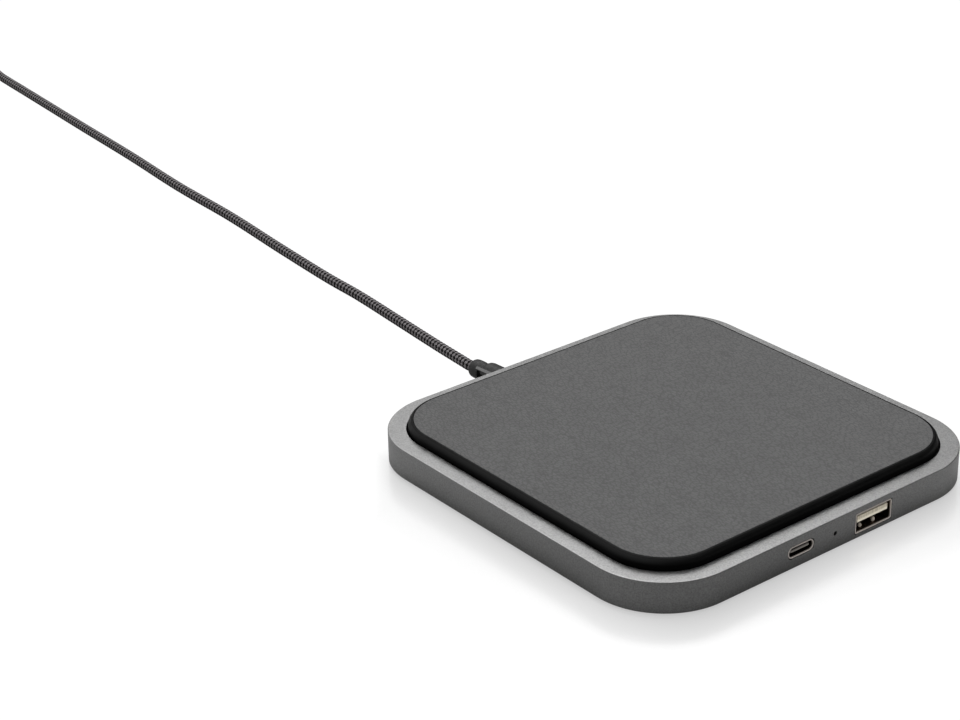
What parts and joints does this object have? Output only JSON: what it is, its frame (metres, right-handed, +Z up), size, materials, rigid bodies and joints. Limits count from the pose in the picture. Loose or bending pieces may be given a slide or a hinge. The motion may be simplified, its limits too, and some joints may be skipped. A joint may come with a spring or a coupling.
{
  "type": "wireless charging pad",
  "caption": "Flat square phone charging pad: metal tray, raised black base with a leather-grain top, front charging sockets, status light and a captive braided cable with a plug.",
  "frame": {"origin": "centre of the anti-slip pad's underside, on the table, in the middle of the housing's footprint", "axes": "+Z up out of the charging face, +Y towards the cable, -Y out of the sockets"},
  "size_m": [0.12, 0.5301, 0.0122],
  "materials": {
    "housing_metal": "fine bead-blasted, dark grey anodised",
    "black_plastic": "satin black",
    "leather": "fine-grained, dark grey",
    "rubber": "matte black",
    "black_steel": "black zinc",
    "steel": "stamped, nickel plated",
    "cream_plastic": "moulded, off-white",
    "gold": "gold plated",
    "copper": "lacquered copper strand",
    "ferrite": "sintered, matte",
    "tape": "amber film",
    "circuit_board": "green solder mask",
    "chip": "moulded epoxy",
    "capacitor": "fired ceramic",
    "clear_plastic": "frosted clear",
    "braid": "black and grey nylon braid",
    "red_wire": "extruded",
    "black_wire": "extruded"
  },
  "bodies": {
    "pad": {"housing": "housing_metal", "top_plate": "black_plastic", "leather_pad": "leather", "base_cover": "black_plastic", "anti_slip_pad": "rubber", "cover_screw_1": "black_steel", "cover_screw_2": "black_steel", "cover_screw_3": "black_steel", "cover_screw_4": "black_steel", "main_board": "circuit_board", "board_screw_1": "steel", "board_screw_2": "steel", "board_screw_3": "steel", "charging_coil": "copper", "ferrite_disc": "ferrite", "coil_tape": "tape", "coil_lead_inner": "copper", "coil_lead_outer": "copper", "driver_chip": "chip", "port_chip": "chip", "power_inductor": "chip", "capacitor_1": "capacitor", "capacitor_2": "capacitor", "capacitor_3": "capacitor", "status_led": "clear_plastic", "light_pipe": "clear_plastic", "usb_a_shell": "steel", "usb_a_tongue": "cream_plastic", "usb_a_contact_1": "gold", "usb_a_contact_2": "gold", "usb_a_contact_3": "gold", "usb_a_contact_4": "gold", "usb_c_shell": "steel", "usb_c_tongue": "black_plastic", "strain_relief": "rubber", "cable_lead_positive": "red_wire", "cable_lead_negative": "black_wire"},
    "cable_near_link": {"cable_near": "braid"},
    "cable_mid_link": {"cable_mid": "braid"},
    "cable_far_link": {"cable_far": "braid", "plug_body": "rubber", "plug_shell": "steel", "plug_tongue": "black_plastic", "plug_contact_1": "gold", "plug_contact_2": "gold", "plug_contact_3": "gold", "plug_contact_4": "gold"}
  },
  "joints": [
    {"name": "cable_swing", "type": "hinge", "parent": "pad", "child": "cable_near_link", "pos_m": [-0.00828, 0.07789, 0.00421], "axis": [0, 0, 1], "range_deg": [-45, 45]},
    {"name": "cable_lift", "type": "hinge", "parent": "cable_near_link", "child": "cable_mid_link", "pos_m": [-0.00061, 0.14146, 0.0016], "axis": [1, 0, 0], "range_deg": [0, 40]},
    {"name": "cable_curl", "type": "hinge", "parent": "cable_mid_link", "child": "cable_far_link", "pos_m": [0.0062, 0.26124, 0.0016], "axis": [0, 0, 1], "range_deg": [-75, 75]}
  ]
}
